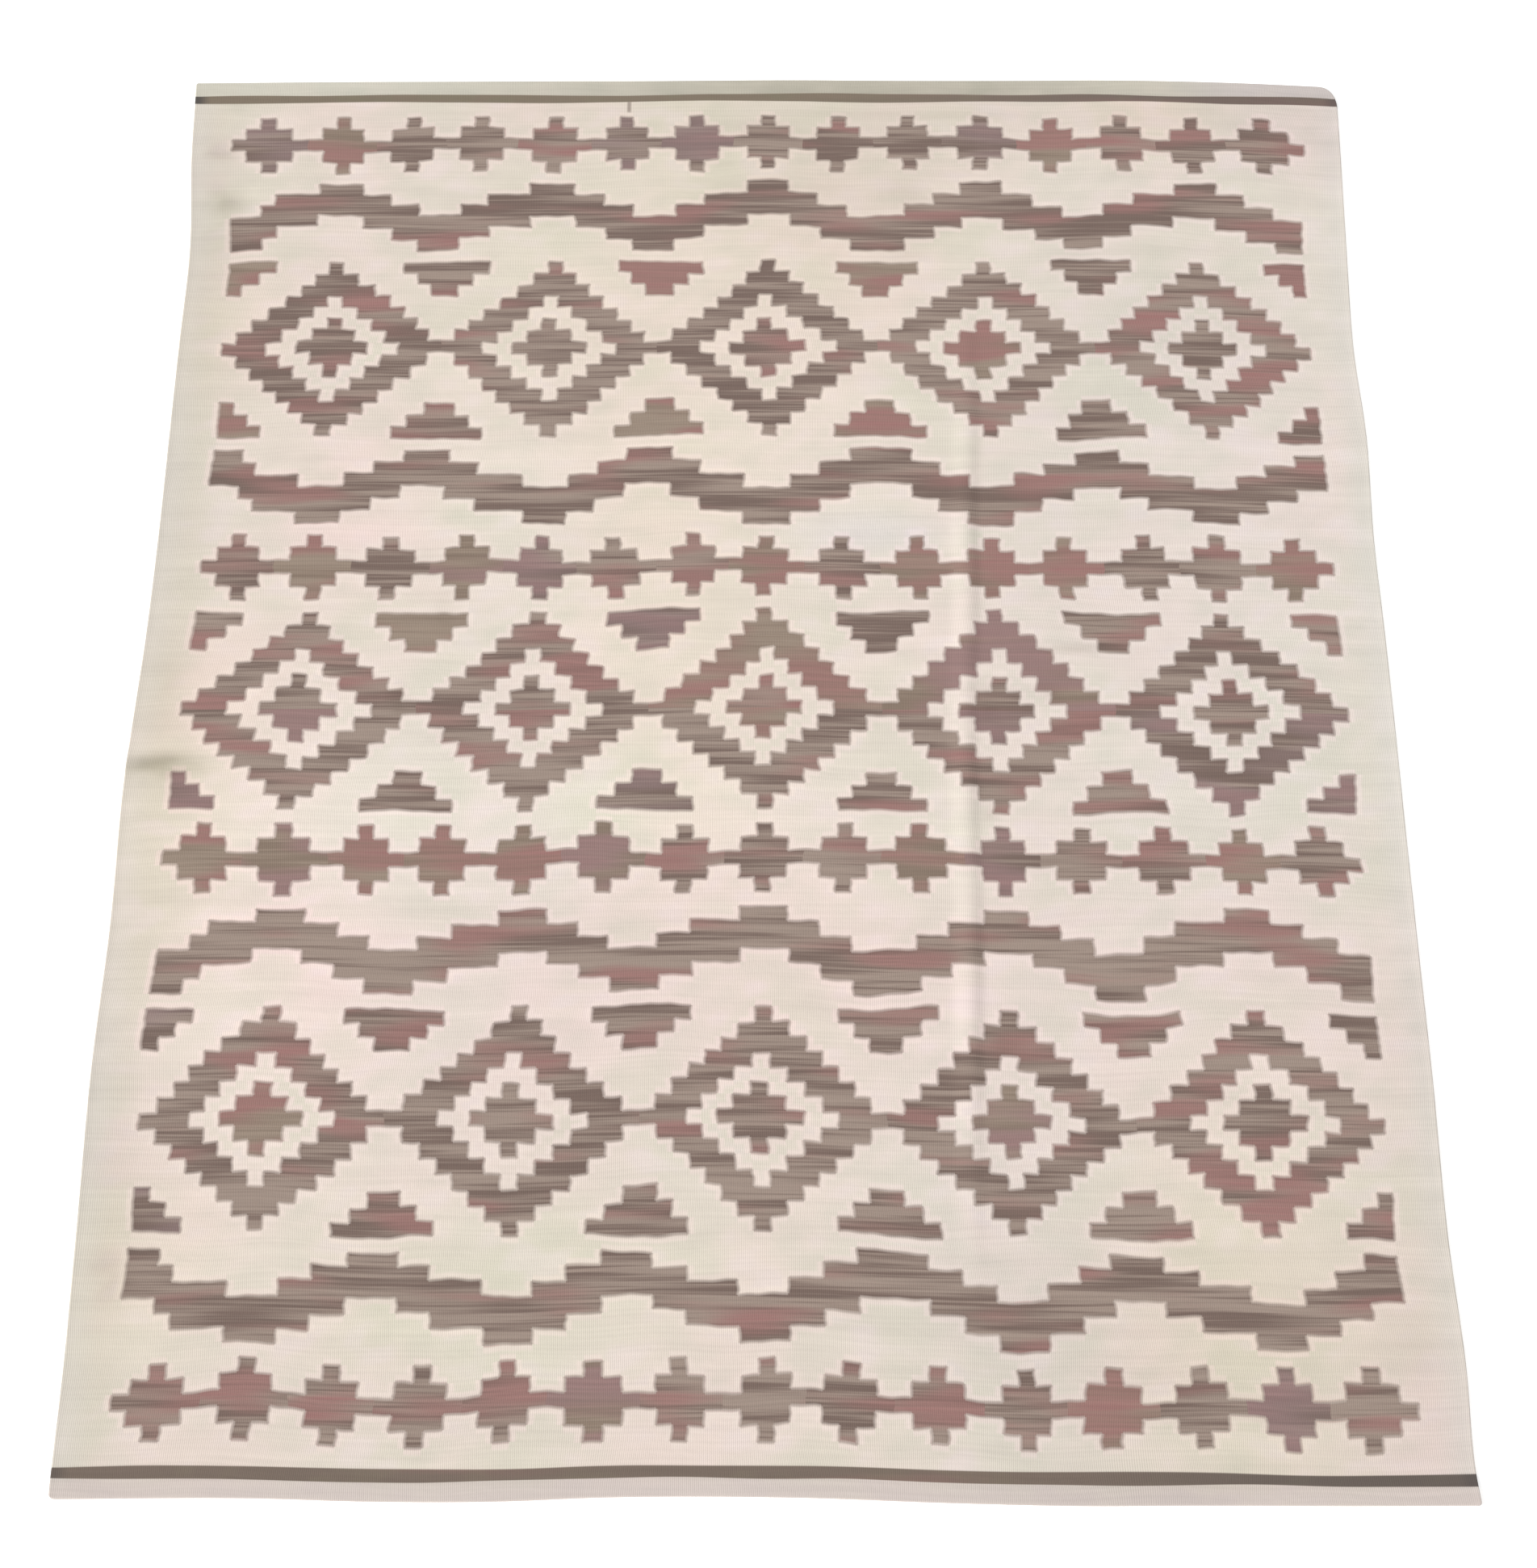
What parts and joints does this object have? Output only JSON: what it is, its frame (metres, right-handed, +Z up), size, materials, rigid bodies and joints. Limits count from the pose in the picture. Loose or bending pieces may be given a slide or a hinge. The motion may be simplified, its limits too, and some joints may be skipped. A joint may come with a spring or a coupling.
{
  "type": "flatweave rug",
  "caption": "Rectangular wool flatweave rug lying flat, with turned hems at its ends, plain selvedges, and a low crease along it.",
  "frame": {"origin": "middle of the rug's underside, at the centre of its box, on the floor", "axes": "+X across the rug, +Y along its length towards the far end, +Z up out of the floor"},
  "size_m": [2.4389, 3.0501, 0.0084],
  "materials": {
    "wool": "matt weft-faced wool in cream, with stepped motifs in taupe, dusty rose and dark brown"
  },
  "bodies": {
    "root": {"rug": "wool"}
  },
  "joints": []
}
